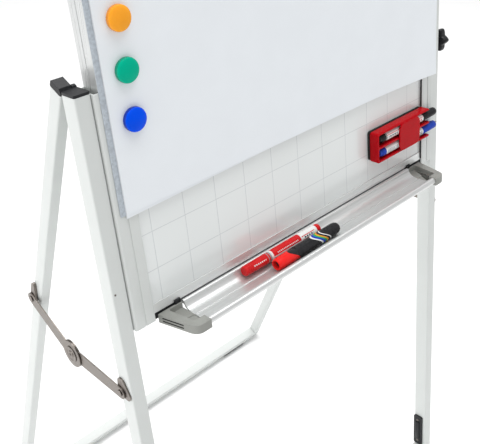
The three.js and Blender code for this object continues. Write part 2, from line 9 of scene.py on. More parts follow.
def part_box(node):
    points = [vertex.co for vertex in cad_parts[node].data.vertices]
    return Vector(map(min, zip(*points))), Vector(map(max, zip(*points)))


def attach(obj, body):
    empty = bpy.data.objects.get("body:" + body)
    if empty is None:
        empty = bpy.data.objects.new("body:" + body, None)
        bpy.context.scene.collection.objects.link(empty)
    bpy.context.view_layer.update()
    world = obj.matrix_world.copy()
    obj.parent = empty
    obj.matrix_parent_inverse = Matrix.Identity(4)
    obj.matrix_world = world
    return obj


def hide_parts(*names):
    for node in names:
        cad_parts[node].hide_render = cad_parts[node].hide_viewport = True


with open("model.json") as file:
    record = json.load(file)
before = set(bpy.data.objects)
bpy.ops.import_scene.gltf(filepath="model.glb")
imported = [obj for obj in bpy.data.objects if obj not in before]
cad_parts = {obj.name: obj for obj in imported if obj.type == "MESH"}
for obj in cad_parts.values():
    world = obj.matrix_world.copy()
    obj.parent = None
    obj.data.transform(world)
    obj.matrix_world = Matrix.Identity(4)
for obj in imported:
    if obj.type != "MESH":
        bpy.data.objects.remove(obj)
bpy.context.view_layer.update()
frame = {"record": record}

RECORD = frame["record"]
JOINTS = {joint["name"]: joint for joint in RECORD["behaviour"]["joints"]}
BODIES = RECORD["behaviour"]["bodies"]
BODY_OF = {node: body for body, nodes in BODIES.items() for node in nodes}
SLOT_OF = {part["node"]: part["material_slot"] for part in RECORD["subparts"]}

# ---------------------------------------------------------------- the two planes of the easel
# Shapes are written in millimetres in the plane that carries them: y back, z up along the legs.
HINGE = Vector(JOINTS["rear_fold"]["pos_m"])
FRONT_LEAN = math.radians(7.2)
HINGE_BACK = 0.029               # hinge axis behind the front faces of the legs
CENTRE_X = 1000 * HINGE.x        # the easel's centre line, in millimetres
MM = Matrix.Scale(0.001, 4)
FRONT = (Matrix.Translation(HINGE) @ Matrix.Rotation(-FRONT_LEAN, 4, "X")
         @ Matrix.Translation((0, -HINGE_BACK, 0)) @ MM)
UP = Vector((0, math.sin(FRONT_LEAN), math.cos(FRONT_LEAN)))

HALF_WIDTH = 326                 # centre line to the outer faces of the legs
LEG_WIDTH = 20
PLATE_FACE = 2.3                 # outer face of the stay plate, from the leg
SUNK_HEAD = 0.22                 # the folded stay passes 0.3 above its plate
BOARD_BOTTOM = -293
TRAY_TOP = -296
TRAY_FLOOR = -305
TRAY_HALF = 234.5
SIDES = (("left", -1), ("right", 1))


# ---------------------------------------------------------------- material building blocks
class Shader:
    """A principled material and short ways to wire nodes into it."""

    def __init__(self, name, roughness=0.5, metallic=0.0, **fixed):
        self.material = bpy.data.materials.new(name)
        self.material.use_nodes = True
        self.tree = self.material.node_tree
        self.surface = self.tree.nodes["Principled BSDF"]
        self.surface.inputs["Roughness"].default_value = roughness
        self.surface.inputs["Metallic"].default_value = metallic
        for key, value in fixed.items():
            self.surface.inputs[key.replace("_", " ")].default_value = value
        self.coords = self.node("ShaderNodeTexCoord").outputs["Object"]

    def node(self, kind, **settings):
        made = self.tree.nodes.new(kind)
        for key, value in settings.items():
            setattr(made, key, value)
        return made

    def link(self, source, target):
        if isinstance(source, (int, float)):
            target.default_value = source
        else:
            self.tree.links.new(source, target)

    def math(self, operation, a, b=0.0):
        made = self.node("ShaderNodeMath", operation=operation)
        self.link(a, made.inputs[0])
        self.link(b, made.inputs[1])
        return made.outputs[0]

    def dot(self, vector):
        made = self.node("ShaderNodeVectorMath", operation="DOT_PRODUCT")
        self.link(self.coords, made.inputs[0])
        made.inputs[1].default_value = vector
        return made.outputs["Value"]

    def stretched(self, scale):
        made = self.node("ShaderNodeMapping")
        self.link(self.coords, made.inputs["Vector"])
        made.inputs["Scale"].default_value = scale
        return made.outputs["Vector"]

    def noise(self, scale, detail=3.0, vector=None):
        made = self.node("ShaderNodeTexNoise")
        self.link(vector or self.coords, made.inputs["Vector"])
        made.inputs["Scale"].default_value = scale
        made.inputs["Detail"].default_value = detail
        return made.outputs["Fac"]

    def ramp(self, value, stops, constant=False):
        made = self.node("ShaderNodeValToRGB")
        elements = made.color_ramp.elements
        if constant:
            made.color_ramp.interpolation = "CONSTANT"
        while len(elements) < len(stops):
            elements.new(1.0)
        for element, (position, color) in zip(elements, stops):
            element.position = position
            element.color = (*color, 1.0)
        self.link(value, made.inputs["Fac"])
        return made.outputs["Color"]

    def between(self, value, low, high):
        """The value, 0 to 1, spread from low to high."""
        made = self.node("ShaderNodeMapRange")
        self.link(value, made.inputs["Value"])
        made.inputs["From Min"].default_value = 0.3
        made.inputs["From Max"].default_value = 0.7
        made.inputs["To Min"].default_value = low
        made.inputs["To Max"].default_value = high
        return made.outputs["Result"]

    def mix(self, factor, a, b):
        made = self.node("ShaderNodeMix", data_type="RGBA")
        self.link(factor, made.inputs["Factor"])
        for source, socket in ((a, made.inputs["A"]), (b, made.inputs["B"])):
            if isinstance(source, tuple):
                socket.default_value = (*source, 1.0)
            else:
                self.tree.links.new(source, socket)
        return made.outputs["Result"]

    def bump(self, height, strength, distance):
        made = self.node("ShaderNodeBump")
        made.inputs["Strength"].default_value = strength
        made.inputs["Distance"].default_value = distance
        self.link(height, made.inputs["Height"])
        return made.outputs["Normal"]

    def finish(self, color, roughness=None, normal=None):
        if isinstance(color, tuple):
            self.surface.inputs["Base Color"].default_value = (*color, 1.0)
        else:
            self.link(color, self.surface.inputs["Base Color"])
        if roughness is not None:
            self.link(roughness, self.surface.inputs["Roughness"])
        if normal is not None:
            self.link(normal, self.surface.inputs["Normal"])
        return self.material


def shade(color, factor):
    return tuple(min(1.0, channel * factor) for channel in color)


def powder_coat(name, color):
    s = Shader(name, Coat_Weight=0.15, Coat_Roughness=0.25)
    cloud = s.noise(9.0)
    peel = s.noise(1400.0, 2.0)
    tone = s.mix(s.between(cloud, 0.0, 1.0), shade(color, 0.965), shade(color, 1.015))
    rough = s.between(s.noise(40.0), 0.34, 0.46)
    return s.finish(tone, rough, s.bump(peel, 0.10, 0.0003))


def anodised(name, color, along, pitch, low=0.24, high=0.4):
    """Extruded aluminium: fine lines that run along the given direction."""
    s = Shader(name, metallic=0.6)
    scale = tuple(1.0 if step else pitch for step in along)
    lines = s.noise(1.0, 4.0, s.stretched(scale))
    cloud = s.noise(14.0)
    tone = s.mix(s.between(lines, 0.0, 1.0), shade(color, 0.94), shade(color, 1.03))
    tone = s.mix(s.math("MULTIPLY", cloud, 0.15), tone, shade(color, 0.85))
    return s.finish(tone, s.between(lines, low, high), s.bump(lines, 0.06, 0.0001))


def moulding(name, color, low=0.32, high=0.46, grain=1800.0, depth=0.12):
    s = Shader(name, Specular_IOR_Level=0.3)
    cloud = s.noise(30.0)
    fine = s.noise(grain, 2.0)
    tone = s.mix(s.between(cloud, 0.0, 1.0), shade(color, 0.9), shade(color, 1.08))
    return s.finish(tone, s.between(fine, low, high), s.bump(fine, depth, 0.0002))


def gloss(name, color, glow=0.0):
    """Shiny plastic with faint handling marks."""
    s = Shader(name, roughness=0.12, Specular_IOR_Level=0.07)
    s.surface.inputs["Subsurface Weight"].default_value = glow
    s.surface.inputs["Subsurface Radius"].default_value = (0.004, 0.003, 0.002)
    marks = s.noise(160.0, 5.0)
    tone = s.mix(s.between(s.noise(50.0), 0.0, 1.0), shade(color, 0.94), shade(color, 1.05))
    return s.finish(tone, s.between(marks, 0.08, 0.2), s.bump(s.noise(500.0), 0.03, 0.0002))


def nickel(name, color):
    s = Shader(name, metallic=1.0)
    brushed = s.noise(1.0, 4.0, s.stretched((60.0, 900.0, 900.0)))
    dull = s.noise(90.0, 5.0)
    tone = s.mix(s.between(dull, 0.0, 1.0), shade(color, 0.82), shade(color, 1.08))
    return s.finish(tone, s.between(dull, 0.26, 0.46), s.bump(brushed, 0.12, 0.0002))


def foam(name, color):
    s = Shader(name, roughness=0.95)
    cells = s.node("ShaderNodeTexVoronoi")
    cells.inputs["Scale"].default_value = 900.0
    s.link(s.coords, cells.inputs["Vector"])
    tone = s.mix(s.between(s.noise(120.0), 0.0, 1.0), shade(color, 0.75), shade(color, 1.3))
    return s.finish(tone, 0.93, s.bump(cells.outputs["Distance"], 0.5, 0.0005))


def paper(name, color):
    s = Shader(name, roughness=0.85)
    fibres = s.noise(700.0, 6.0)
    tone = s.mix(s.between(s.noise(25.0), 0.0, 1.0), shade(color, 0.985), shade(color, 1.005))
    return s.finish(tone, s.between(fibres, 0.78, 0.92), s.bump(fibres, 0.06, 0.0002))


def pad_edge(name, color):
    """The cut edge of a stack of sheets: thin lines across the thickness."""
    s = Shader(name, roughness=0.9)
    layers = s.noise(1.0, 3.0, s.stretched((2.0, 5200.0, 2.0)))
    tone = s.mix(s.between(layers, 0.0, 1.0), shade(color, 0.78), shade(color, 1.0))
    return s.finish(tone, 0.9, s.bump(layers, 0.2, 0.0002))


def card(name, color):
    s = Shader(name, roughness=0.95)
    tone = s.mix(s.between(s.noise(300.0, 5.0), 0.0, 1.0), shade(color, 0.8), shade(color, 1.1))
    return s.finish(tone, 0.9, s.bump(s.noise(900.0), 0.3, 0.0003))


GRID_PITCH = 0.05
GRID_LINE = 0.001
GRID_LEFT = -0.259               # a column line, from the board's centre line
GRID_ROW = -0.186                # a row line, along the board from the hinge


def gridded_enamel(name, color, line):
    """Gloss white enamel with a thin printed square grid."""
    s = Shader(name, Coat_Weight=0.5, Coat_Roughness=0.05)
    origin = FRONT @ Vector((0, 0, 1000 * GRID_ROW))
    across = s.math("SUBTRACT", s.dot((1, 0, 0)), origin.x + GRID_LEFT)
    height = s.math("SUBTRACT", s.dot(UP), origin.dot(UP))
    masks = []
    for place in (across, height):
        cell = s.math("PINGPONG", place, GRID_PITCH / 2)
        masks.append(s.math("LESS_THAN", cell, GRID_LINE / 2))
    mask = s.math("MAXIMUM", *masks)
    worn = s.math("MULTIPLY", mask, s.between(s.noise(60.0), 0.75, 1.0))
    cloud = s.mix(s.between(s.noise(6.0), 0.0, 1.0), shade(color, 0.985), shade(color, 1.01))
    rough = s.between(s.noise(35.0), 0.14, 0.24)
    return s.finish(s.mix(worn, cloud, line), rough, s.bump(s.noise(220.0), 0.02, 0.0002))


def banded(name, start, stops, axis_height, patches=(), slant=0.0):
    """A pen barrel: bands of colour along x, in millimetres from its start.

    A patch is (from, to, low, high, color, dash): a stretch of the barrel between two heights
    above its axis; dash is the pitch of a broken line, or 0."""
    s = Shader(name, roughness=0.2, Specular_IOR_Level=0.08)
    length = stops[-1][0]
    place = s.math("SUBTRACT", s.dot((1, 0, 0)), (start + CENTRE_X) / 1000)
    if slant:
        height = s.math("SUBTRACT", s.dot((0, 0, 1)), axis_height)
        curve = s.math("MULTIPLY", s.math("MULTIPLY", height, height), slant * 120)
        place = s.math("ADD", place, s.math("ADD", s.math("MULTIPLY", height, slant), curve))
    reach = s.math("MULTIPLY", place, 1000 / length)
    tone = s.ramp(reach, [(x / length, color) for x, color in stops[:-1]], constant=True)
    around = s.math("SUBTRACT", s.dot((0, 0, 1)), axis_height)
    for begin, end, low, high, color, dash in patches:
        within = s.math("MULTIPLY", s.math("GREATER_THAN", place, begin / 1000),
                        s.math("LESS_THAN", place, end / 1000))
        band = s.math("MULTIPLY", s.math("GREATER_THAN", around, low / 1000),
                      s.math("LESS_THAN", around, high / 1000))
        mask = s.math("MULTIPLY", within, band)
        if dash:
            wave = s.math("PINGPONG", place, dash / 1000)
            mask = s.math("MULTIPLY", mask, s.math("GREATER_THAN", wave, 0.45 * dash / 1000))
        tone = s.mix(mask, tone, color)
    tone = s.mix(s.math("MULTIPLY", s.noise(200.0), 0.06), tone, (0.5, 0.5, 0.5))
    return s.finish(tone, s.between(s.noise(300.0), 0.15, 0.3), s.bump(s.noise(900.0), 0.03, 0.0002))


RED_INK = (0.62, 0.005, 0.008)
BLUE_INK = (0.01, 0.05, 0.42)
INK = (0.012, 0.012, 0.014)
LABEL = (0.80, 0.80, 0.79)
GREY = (0.30, 0.30, 0.31)
WHITE = (0.65, 0.675, 0.66)
BLACK = (0.010, 0.011, 0.013)
METAL = (0.72, 0.735, 0.73)
MATERIALS = {
    "white_steel": powder_coat("white_steel", WHITE),
    "back_sheet": powder_coat("back_sheet", (0.66, 0.68, 0.68)),
    "white_enamel": gridded_enamel("white_enamel", (0.80, 0.83, 0.825), (0.60, 0.63, 0.64)),
    "cardboard": card("cardboard", (0.45, 0.34, 0.21)),
    "anodised_aluminium": anodised("anodised_aluminium", METAL, (0, 0, 1), 900.0),
    "grey_plastic": moulding("grey_plastic", (0.285, 0.29, 0.27), 0.42, 0.58),
    "black_plastic": moulding("black_plastic", BLACK),
    "rubber": foam("rubber", (0.018, 0.018, 0.018)),
    "nickel_steel": nickel("nickel_steel", (0.23, 0.205, 0.185)),
    "paper": paper("paper", (0.83, 0.865, 0.90)),
    "orange_plastic": gloss("orange_plastic", (0.95, 0.38, 0.03), 0.15),
    "green_plastic": gloss("green_plastic", (0.0, 0.42, 0.26), 0.0),
    "blue_plastic": gloss("blue_plastic", (0.0, 0.075, 0.80), 0.0),
    "red_plastic": gloss("red_plastic", (0.46, 0.003, 0.008), 0.0),
    "white_plastic": gloss("white_plastic", (0.85, 0.85, 0.84)),
}
LINES_ACROSS = anodised("aluminium_lines_across", METAL, (1, 0, 0), 900.0)
STRIP_METAL = anodised("strip_metal", (0.86, 0.875, 0.87), (1, 0, 0), 900.0, 0.34, 0.5)
TRAY_METAL = anodised("tray_metal", (0.70, 0.71, 0.705), (1, 0, 0), 700.0, 0.28, 0.38)
PAD_EDGE = pad_edge("pad_edge", (0.80, 0.82, 0.84))
PAD_STRIP_GREY = card("pad_strip_grey", (0.50, 0.55, 0.60))
# painted shade: the dark grey of the slit between the board and its tray
SLIT_SHADE_GREY = moulding("slit_shade_grey", (0.13, 0.135, 0.14), 0.5, 0.7)
# painted shade: a near-black for the insides of slots and holes
HOLE_SHADE_BLACK = moulding("hole_shade_black", (0.004, 0.004, 0.004), 0.7, 0.9)


# ---------------------------------------------------------------- making pieces
def add_piece(name, bm, body, slot, material=None, plane=FRONT, smooth=35.0):
    if plane is not None:
        bmesh.ops.transform(bm, matrix=plane, verts=bm.verts)
    bmesh.ops.recalc_face_normals(bm, faces=bm.faces)
    mesh = bpy.data.meshes.new(name)
    bm.to_mesh(mesh)
    bm.free()
    mesh.shade_smooth()
    mesh.set_sharp_from_angle(angle=math.radians(smooth))
    piece = bpy.data.objects.new(name, mesh)
    bpy.context.scene.collection.objects.link(piece)
    mesh.materials.append(material or MATERIALS[slot])
    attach(piece, body)
    return piece


def soften(piece, width, segments=3, angle=30.0):
    """Rounds the edges of a piece; the width is in millimetres."""
    bevel = piece.modifiers.new("soft_edges", "BEVEL")
    bevel.width = width / 1000
    bevel.segments = segments
    bevel.limit_method = "ANGLE"
    bevel.angle_limit = math.radians(angle)
    bevel.harden_normals = True


def refine(node, width, material=None, segments=3):
    """A copy of a CAD node with merged faces and rounded edges that stands for it."""
    bm = bmesh.new()
    bm.from_mesh(bpy.data.objects[node].data)
    bmesh.ops.remove_doubles(bm, verts=bm.verts, dist=1e-6)
    flat = math.radians(0.6)
    bmesh.ops.dissolve_limit(bm, angle_limit=flat, verts=bm.verts, edges=bm.edges)
    piece = add_piece(f"{node}_fine", bm, BODY_OF[node], SLOT_OF[node], material, None)
    soften(piece, width, segments)
    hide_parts(node)


def prism(points, start, end, axis="x"):
    """An outline swept along an axis; the outline is in the other two axes, in order."""
    bm = bmesh.new()
    rings = []
    for place in (start, end):
        if axis == "x":
            corners = [(place, a, b) for a, b in points]
        elif axis == "y":
            corners = [(a, place, b) for a, b in points]
        else:
            corners = [(a, b, place) for a, b in points]
        rings.append([bm.verts.new(corner) for corner in corners])
    bm.faces.new(rings[0])
    bm.faces.new(reversed(rings[1]))
    count = len(points)
    for k in range(count):
        following = (k + 1) % count
        bm.faces.new((rings[0][k], rings[1][k], rings[1][following], rings[0][following]))
    bmesh.ops.recalc_face_normals(bm, faces=bm.faces)
    return bm


def arc(a, b, radius, start, end, steps):
    turns = [math.radians(start + (end - start) * k / steps) for k in range(steps + 1)]
    return [(a + radius * math.cos(t), b + radius * math.sin(t)) for t in turns]


def rounded(a0, b0, a1, b1, radius, steps=6):
    return (arc(a1 - radius, b0 + radius, radius, -90, 0, steps)
            + arc(a1 - radius, b1 - radius, radius, 0, 90, steps)
            + arc(a0 + radius, b1 - radius, radius, 90, 180, steps)
            + arc(a0 + radius, b0 + radius, radius, 180, 270, steps))


def curve(p0, p1, p2, steps=12):
    """Points of a quadratic curve, without its first point."""
    points = []
    for k in range(1, steps + 1):
        t = k / steps
        weights = ((1 - t) ** 2, 2 * t * (1 - t), t * t)
        points.append(tuple(sum(w * p[i] for w, p in zip(weights, (p0, p1, p2))) for i in (0, 1)))
    return points


def lathe(profile, centre, towards, steps=48):
    """A profile of (height, radius) turned about the axis from centre towards a direction."""
    bm = bmesh.new()
    turn = Vector((0, 0, 1)).rotation_difference(Vector(towards)).to_matrix()
    rings = []
    for height, radius in profile:
        if radius < 1e-6:
            rings.append([bm.verts.new(turn @ Vector((0, 0, height)) + Vector(centre))])
            continue
        ring = []
        for k in range(steps):
            a = 2 * math.pi * k / steps
            point = Vector((radius * math.cos(a), radius * math.sin(a), height))
            ring.append(bm.verts.new(turn @ point + Vector(centre)))
        rings.append(ring)
    for low, high in zip(rings, rings[1:]):
        for k in range(steps):
            following = (k + 1) % steps
            corners = [low[k % len(low)], low[following % len(low)],
                       high[following % len(high)], high[k % len(high)]]
            unique = list(dict.fromkeys(corners))
            if len(unique) > 2:
                bm.faces.new(unique)
    bmesh.ops.recalc_face_normals(bm, faces=bm.faces)
    return bm


def carve(bm, cutters):
    """Cuts closed shapes out of a shape."""
    def loose(name, shape):
        mesh = bpy.data.meshes.new(name)
        shape.to_mesh(mesh)
        shape.free()
        thing = bpy.data.objects.new(name, mesh)
        bpy.context.scene.collection.objects.link(thing)
        return thing

    base = loose("carved", bm)
    tools = [loose("cutter", cutter) for cutter in cutters]
    for tool in tools:
        step = base.modifiers.new("cut", "BOOLEAN")
        step.operation = "DIFFERENCE"
        step.object = tool
        step.solver = "EXACT"
    graph = bpy.context.evaluated_depsgraph_get()
    result = bmesh.new()
    result.from_object(base, graph)
    for thing in (base, *tools):
        bpy.data.objects.remove(thing)
    flat = math.radians(0.5)
    bmesh.ops.dissolve_limit(result, angle_limit=flat, verts=result.verts, edges=result.edges)
    return result


# ---------------------------------------------------------------- frames, screws and stays
def dress(node, material=None):
    """Gives a CAD node, left as it is, its material."""
    mesh_object = bpy.data.objects[node]
    mesh_object.data.materials.clear()
    mesh_object.data.materials.append(material or MATERIALS[SLOT_OF[node]])


def screw(name, body, place, towards, radius, height=None):
    """A pan head with a cross recess, standing on the point towards the given direction."""
    height = height or 0.7 * radius
    dome = ((0.36, 1.0), (0.64, 0.86), (0.86, 0.6), (0.97, 0.3), (1.0, 0.0))
    profile = [(-0.4, 0.0), (-0.4, radius)] + [(a * height, b * radius) for a, b in dome]
    head = lathe(profile, place, towards, 24)
    turn = Vector((0, 0, 1)).rotation_difference(Vector(towards)).to_matrix()
    cutters = []
    for long, short in ((0.6 * radius, 0.13 * radius), (0.13 * radius, 0.6 * radius)):
        corners = [(-long, -short), (long, -short), (long, short), (-long, short)]
        blade = prism(corners, 0.43 * height, 2 * radius, "z")
        bmesh.ops.transform(blade, matrix=Matrix.Translation(place) @ turn.to_4x4(), verts=blade.verts)
        cutters.append(blade)
    add_piece(name, carve(head, cutters), body, "nickel_steel")


def rivet(name, body, place, towards, radius, height, slot):
    profile = [(-0.2, 0.0), (-0.2, radius), (0.2 * height, radius)]
    for k in range(1, 8):
        a = math.pi / 2 * k / 7
        profile.append((height * (0.2 + 0.8 * math.sin(a)), radius * math.cos(a)))
    add_piece(name, lathe(profile, place, towards, 32), body, slot)


def frames():
    for side, _ in SIDES:
        for node, width in (("front_leg", 0.5), ("rear_leg", 0.5), ("guide_channel", 0.45),
                            ("front_hinge_cap", 0.7), ("rear_hinge_cap", 0.7),
                            ("front_foot", 0.8), ("rear_foot", 0.8), ("catch_plate", 0.8),
                            ("stay_plate", 0.3), ("stay_bracket", 0.3), ("stay_front_arm", 0.35),
                            ("stay_rear_arm", 0.35), ("hinge_pin", 0.2), ("pad_hook", 0.3),
                            ("tray_clip", 0.4), ("board_frame", 0.25)):
            refine(f"{node}_{side}", width)
    for node, width in (("front_crossbar", 0.5), ("rear_crossbar", 0.5), ("clamp_stud", 0.4)):
        refine(node, width)
    for node, width in (("board_frame_top", 0.25), ("pad_clamp_rail", 0.3), ("pad_clamp_bar", 0.4)):
        refine(node, width, LINES_ACROSS)
    refine("board_frame_bottom", 0.25, STRIP_METAL)
    for node in ("writing_sheet", "board_core", "back_sheet"):
        dress(node)


def fasteners():
    inner = HALF_WIDTH - LEG_WIDTH
    for side, s in SIDES:
        facing = (-s, 0, 0)
        for k, z in enumerate((-940, -887)):
            screw(f"catch_screw_{k}_{side}", "front_frame", (s * (inner - 3.7), 15, z), facing, 2.6)
        outward = (s, 0, 0)
        for k, (y, z) in enumerate(((17, -376), (8, -392))):
            place = (s * (HALF_WIDTH + PLATE_FACE), y, z)
            screw(f"stay_screw_{k}_{side}", "front_frame", place, outward, 2.4, SUNK_HEAD)
        screw(f"channel_screw_{side}", "front_frame", (s * 322, 0.1, -242), (0, -1, 0), 1.3)
        rivet(f"channel_rivet_{side}", "front_frame", (s * 279, -4, -46), (0, -1, 0), 1.3, 0.6,
              "white_steel")


def painted_channel_shade():
    """A thin black strip on the right channel, next to the writing sheet: painted shade of the gap
    between them.
    """
    gap_shade = prism([(275.2, -3.6), (275.9, -3.6), (275.9, -1.7), (275.2, -1.7)], -291, -6, "z")
    add_piece("painted_channel_shade", gap_shade, "front_frame", "black_plastic")


def hub_rivets():
    """The wide washer and domed head at the middle of each stay."""
    for side, s in SIDES:
        node = f"stay_hub_rivet_{side}"
        low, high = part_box(node)
        centre = [(low[i] + high[i]) / 2 for i in range(3)]
        face = low[0] if s > 0 else high[0]
        place = Vector((face, centre[1], centre[2]))
        profile = [(0.0, 0.0), (0.0, 12.0), (0.5, 12.0), (0.75, 11.7), (0.85, 10.9), (0.8, 9.8),
                   (0.35, 9.2), (0.3, 5.6), (0.7, 5.3), (1.15, 4.9), (1.4, 4.2), (1.5, 3.2),
                   (1.45, 2.2), (0.2, 1.8), (0.1, 0.0)]
        profile = [(height / 1000, radius / 1000) for height, radius in profile]
        bm = lathe(profile, place, (s, 0, 0), 40)
        piece = add_piece(f"hub_rivet_{side}", bm, f"stay_rear_arm_{side}", "nickel_steel", plane=None)
        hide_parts(node)


# ---------------------------------------------------------------- pen tray
def pen_tray():
    bead = (-54, TRAY_TOP - 5.5)
    points = [(22, TRAY_TOP), (-2, TRAY_TOP)]
    points += arc(-5.5, TRAY_TOP - 0.5, 3.5, 9, 180, 14)
    points += curve((-9, TRAY_TOP - 0.5), (-13, TRAY_FLOOR), (-26, TRAY_FLOOR), 18)
    points += [(-28, TRAY_FLOOR), (-28.4, TRAY_FLOOR + 0.8), (-28.7, TRAY_FLOOR + 1),
               (-29, TRAY_FLOOR + 0.8), (-29.4, TRAY_FLOOR), (-44, TRAY_FLOOR + 0.4)]
    points += curve((-44, TRAY_FLOOR + 0.4), (-48, TRAY_FLOOR + 1), (bead[0] + 5, bead[1]), 8)
    points += arc(bead[0], bead[1], 5, 0, 261, 24)[1:]
    points += [(-44, TRAY_FLOOR - 1.6), (-24, TRAY_FLOOR - 1.8)]
    points += curve((-24, TRAY_FLOOR - 1.8), (-9, TRAY_FLOOR - 1.2), (-7.5, TRAY_TOP - 3), 12)
    points += [(-2, TRAY_TOP - 2), (22, TRAY_TOP - 2)]
    bm = prism(points, -TRAY_HALF, TRAY_HALF)
    tray = add_piece("tray_extrusion", bm, "board", "anodised_aluminium", TRAY_METAL, smooth=28)
    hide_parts("pen_tray")


SLIT_SHADE_HALF = 297.5


def tray_slit_shade():
    """The dark grey strip that fills the slit between the board and its tray, with black pieces at its
    ends behind the tray caps: painted shade of the slit.
    """
    slit_shade = prism(rounded(-0.4, TRAY_TOP + 0.15, 12, BOARD_BOTTOM - 0.15, 0.6, 3),
                 -SLIT_SHADE_HALF, SLIT_SHADE_HALF)
    add_piece("tray_slit_shade", slit_shade, "board", "black_plastic", SLIT_SHADE_GREY)
    for side, s in SIDES:
        low, high = sorted((s * (TRAY_HALF + 0.5), s * SLIT_SHADE_HALF))
        end = prism(rounded(-1.4, TRAY_TOP - 6, 2, BOARD_BOTTOM - 0.2, 0.5, 3), low, high)
        add_piece(f"tray_slit_shade_{side}", end, "board", "black_plastic")


CAP_BACK = (271.5, -1.8)         # outer corners of a tray cap
CAP_FRONT = (260.5, -48)
SLOT_MIDDLE = -24
SLOT_HEIGHTS = (TRAY_TOP - 4.2, TRAY_TOP - 8.4)


def tray_caps():
    """The grey ends of the tray: a pocket on top and two slots in the outer face."""
    inner = TRAY_HALF + 0.3
    for side, s in SIDES:
        plan = [(inner, CAP_BACK[1]), CAP_BACK, CAP_FRONT]
        for k in range(1, 15):
            t = k / 14
            weights = ((1 - t) ** 3, 3 * t * (1 - t) ** 2, 3 * t * t * (1 - t), t ** 3)
            corners = (CAP_FRONT, (258.5, -56), (255, -60.5), (246, -60.5))
            plan.append(tuple(sum(w * c[i] for w, c in zip(weights, corners)) for i in (0, 1)))
        plan.append((inner, -60.5))
        body = prism([(s * x, y) for x, y in plan], TRAY_TOP - 12.5, TRAY_TOP, "z")

        # the pocket's outer wall slants with the outer face, and its floor has a step
        pocket = [(inner - 3, -5), (255.5, -5), (256.5, -7), (250.5, -45), (248.5, -47),
                  (inner - 3, -47)]
        step = [(inner - 3, -27), (252, -27), (249.5, -45), (inner - 3, -45)]
        cutters = [prism([(s * x, y) for x, y in pocket], TRAY_TOP - 8.2, TRAY_TOP + 3, "z"),
                   prism([(s * x, y) for x, y in step], TRAY_TOP - 9.6, TRAY_TOP - 4, "z")]
        slant = math.atan2(CAP_BACK[0] - CAP_FRONT[0], CAP_BACK[1] - CAP_FRONT[1])
        turn = Matrix.Rotation(-s * slant, 4, "Z")
        for z in SLOT_HEIGHTS:
            slot = prism(rounded(-16.5, -0.9, 16.5, 0.9, 0.85), -2.2, 2.2)
            place = Matrix.Translation((s * 266.5, SLOT_MIDDLE, z)) @ turn
            bmesh.ops.transform(slot, matrix=place, verts=slot.verts)
            cutters.append(slot)
        cap = add_piece(f"tray_end_{side}", carve(body, cutters), "board", "grey_plastic")
        soften(cap, 0.8, 4)
        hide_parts(f"tray_cap_{side}")
        # near-black strips set inside the slots: painted shade of their depth
        for k, z in enumerate(SLOT_HEIGHTS):
            slot_shade = prism(rounded(-16.2, -0.8, 16.2, 0.8, 0.7), -0.6, 0.6)
            place = Matrix.Translation((s * 265.3, SLOT_MIDDLE, z)) @ turn
            bmesh.ops.transform(slot_shade, matrix=place, verts=slot_shade.verts)
            add_piece(f"tray_slot_shade_{k}_{side}", slot_shade, "board", "black_plastic", HOLE_SHADE_BLACK)


# ---------------------------------------------------------------- pad and magnets
PAD_TOP = 703
PAD_LOW = -150
PAD_HALF = 292.5
LIFT_START = 120                 # the pad lies flat to the left of this x
LIFT_MOST = 10
CURL_REACH = 90                  # how far the curl runs in from the lower right corner
HEM_HEIGHT = 60                  # the lower edge ripples below this height


def lift_at(x, z):
    """How far the pad stands off the board: most at its free lower right corner."""
    across = min(1.0, max(0.0, (x - LIFT_START) / (PAD_HALF - LIFT_START)))
    down = min(1.0, max(0.0, (PAD_TOP - z) / (PAD_TOP - PAD_LOW)))
    return LIFT_MOST * across ** 1.6 * min(1.0, down * 1.6)


def sheet_block(front, back, bottom, half, curl, skew=0.0):
    """A closed block of paper between two depths that follows the lift of the pad.

    Its lower edge rises by skew towards the lower left corner."""
    columns, rows = 60, 70
    bm = bmesh.new()
    layers = []
    for y in (front, back):
        grid = []
        for j in range(rows + 1):
            z = bottom + (PAD_TOP - bottom) * (j / rows) ** 1.25
            row = []
            for i in range(columns + 1):
                x = half * (2 * i / columns - 1)
                rise = skew * max(0.0, 1 - (x + half) / (0.8 * half)) * (1 - j / rows)
                corner = max(0.0, 1 - math.hypot(half - x, 1.2 * (z - bottom)) / CURL_REACH)
                hem = max(0.0, 1 - (z - bottom) / HEM_HEIGHT) ** 2
                ripple = 0.3 * math.sin(x * 0.012 + 1.0) * hem
                depth = y - lift_at(x, z) - curl * corner ** 2 - ripple
                row.append(bm.verts.new((x, depth, z + rise)))
            grid.append(row)
        layers.append(grid)
    for grid in layers:
        for j in range(rows):
            for i in range(columns):
                bm.faces.new((grid[j][i], grid[j][i + 1], grid[j + 1][i + 1], grid[j + 1][i]))
    rim = ([(0, i) for i in range(columns)] + [(j, columns) for j in range(rows)]
           + [(rows, i) for i in range(columns, 0, -1)] + [(j, 0) for j in range(rows, 0, -1)])
    edge_faces = []
    for (j0, i0), (j1, i1) in zip(rim, rim[1:] + rim[:1]):
        edge_faces.append(bm.faces.new((layers[0][j0][i0], layers[1][j0][i0],
                                        layers[1][j1][i1], layers[0][j1][i1])))
    for face in edge_faces:
        face.material_index = 1
    return bm


def paper_pad():
    block = sheet_block(-6.6, -5.0, PAD_LOW + 2, PAD_HALF, 0.0, -4.5)
    stack = add_piece("pad_stack", block, "board", "paper")
    leaf = sheet_block(-7.2, -6.95, PAD_LOW + 2.6, PAD_HALF, 1.5, -1.0)
    sheet = add_piece("pad_top_sheet", leaf, "board", "paper")
    # a bluish-grey card behind the pad that shows as a strip left of the paper, down to its lower edge
    strip_card = prism(rounded(-299.5, PAD_LOW + 1, 80, PAD_TOP, 2), -4.9, -4.4, "y")
    add_piece("pad_grey_card", strip_card, "board", "paper", PAD_STRIP_GREY)
    for piece in (stack, sheet):
        piece.data.materials.append(PAD_EDGE)
    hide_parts("paper_pad")


MAGNET_HALF_DEPTH = 0.00465


